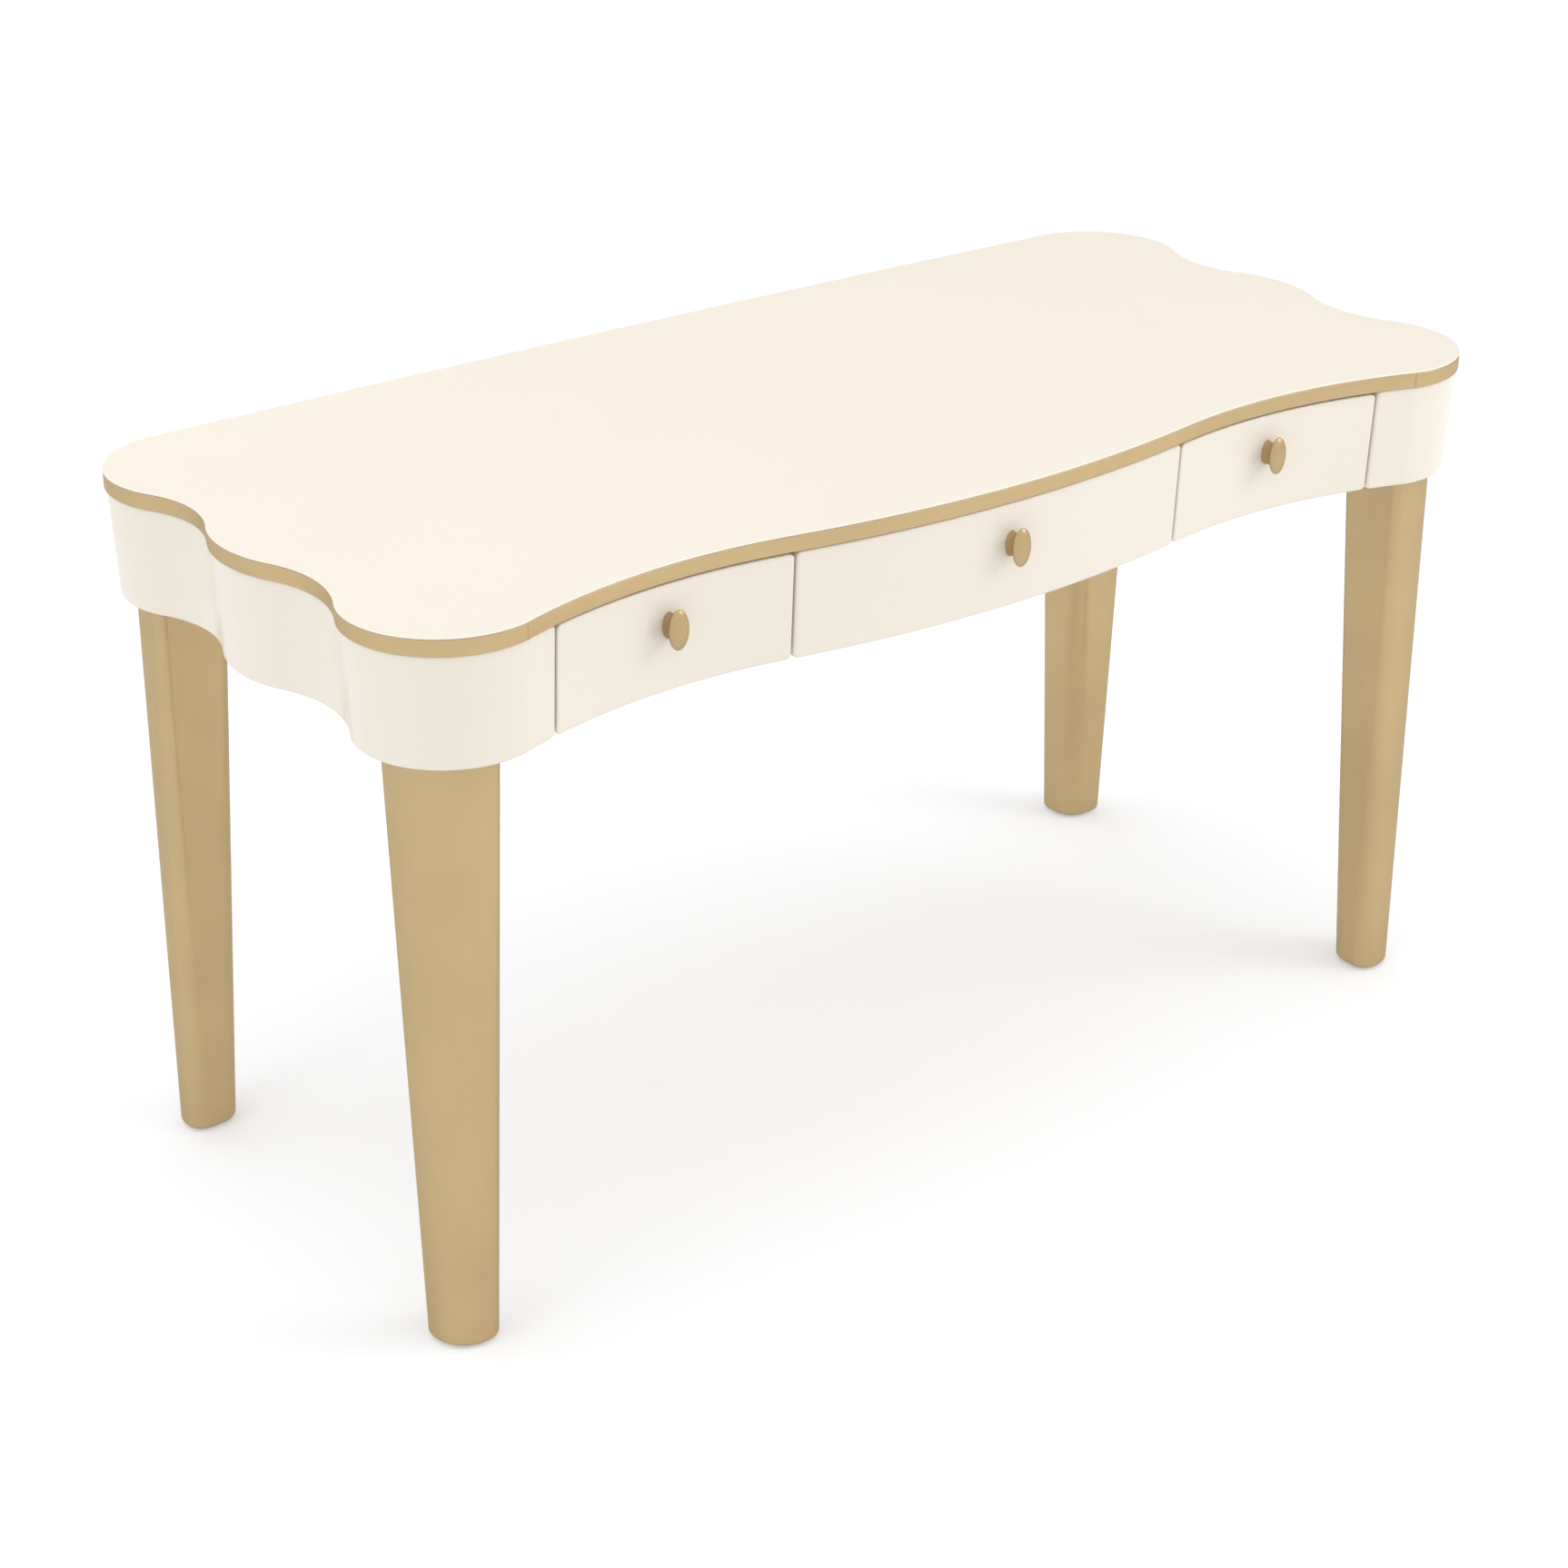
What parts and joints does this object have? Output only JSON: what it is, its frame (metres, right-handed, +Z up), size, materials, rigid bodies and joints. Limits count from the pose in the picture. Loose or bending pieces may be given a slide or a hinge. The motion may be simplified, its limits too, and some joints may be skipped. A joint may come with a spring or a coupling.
{
  "type": "vanity table",
  "caption": "Vanity table with a scalloped ivory top on four tapered gilt legs, and curved drawers that slide out of its front.",
  "frame": {"origin": "on the floor, under the middle of the whole table's box, knobs included", "axes": "+X to the sitter's right, +Z up; the drawers open towards -Y"},
  "size_m": [1.4, 0.6628, 0.762],
  "materials": {
    "ivory_lacquer": "satin ivory lacquer",
    "gilt_wood": "satin champagne gold leaf and lacquer",
    "champagne_metal": "satin champagne gold",
    "drawer_wood": "clear satin",
    "frame_wood": "bare",
    "zinc_steel": "zinc plated",
    "nylon": "matte"
  },
  "bodies": {
    "table_frame": {"top_panel": "ivory_lacquer", "front_edge_trim": "gilt_wood", "back_edge_trim": "gilt_wood", "right_edge_trim": "gilt_wood", "left_edge_trim": "gilt_wood", "right_apron": "ivory_lacquer", "left_apron": "ivory_lacquer", "back_apron": "ivory_lacquer", "front_rail": "frame_wood", "back_rail": "frame_wood", "right_divider": "frame_wood", "left_divider": "frame_wood", "right_inner_side": "frame_wood", "left_inner_side": "frame_wood", "right_front_leg": "gilt_wood", "right_front_glide": "nylon", "right_front_corner_block": "frame_wood", "left_front_leg": "gilt_wood", "left_front_glide": "nylon", "left_front_corner_block": "frame_wood", "right_back_leg": "gilt_wood", "right_back_glide": "nylon", "right_back_corner_block": "frame_wood", "left_back_leg": "gilt_wood", "left_back_glide": "nylon", "left_back_corner_block": "frame_wood", "left_drawer_left_slide_rail": "zinc_steel", "left_drawer_right_slide_rail": "zinc_steel", "middle_drawer_left_slide_rail": "zinc_steel", "middle_drawer_right_slide_rail": "zinc_steel", "right_drawer_left_slide_rail": "zinc_steel", "right_drawer_right_slide_rail": "zinc_steel"},
    "left_drawer": {"left_drawer_front": "ivory_lacquer", "left_drawer_left_side": "drawer_wood", "left_drawer_right_side": "drawer_wood", "left_drawer_bottom": "drawer_wood", "left_drawer_back": "drawer_wood", "left_drawer_knob": "champagne_metal", "left_knob_screw": "zinc_steel", "left_drawer_left_runner": "zinc_steel", "left_drawer_right_runner": "zinc_steel"},
    "middle_drawer": {"middle_drawer_front": "ivory_lacquer", "middle_drawer_left_side": "drawer_wood", "middle_drawer_right_side": "drawer_wood", "middle_drawer_bottom": "drawer_wood", "middle_drawer_back": "drawer_wood", "middle_drawer_knob": "champagne_metal", "middle_knob_screw": "zinc_steel", "middle_drawer_left_runner": "zinc_steel", "middle_drawer_right_runner": "zinc_steel"},
    "right_drawer": {"right_drawer_front": "ivory_lacquer", "right_drawer_left_side": "drawer_wood", "right_drawer_right_side": "drawer_wood", "right_drawer_bottom": "drawer_wood", "right_drawer_back": "drawer_wood", "right_drawer_knob": "champagne_metal", "right_knob_screw": "zinc_steel", "right_drawer_left_runner": "zinc_steel", "right_drawer_right_runner": "zinc_steel"}
  },
  "joints": [
    {"name": "left_drawer_slide", "type": "slide", "parent": "table_frame", "child": "left_drawer", "axis": [0, -1, 0], "range_m": [0, 0.3]},
    {"name": "middle_drawer_slide", "type": "slide", "parent": "table_frame", "child": "middle_drawer", "axis": [0, -1, 0], "range_m": [0, 0.3]},
    {"name": "right_drawer_slide", "type": "slide", "parent": "table_frame", "child": "right_drawer", "axis": [0, -1, 0], "range_m": [0, 0.3]}
  ]
}
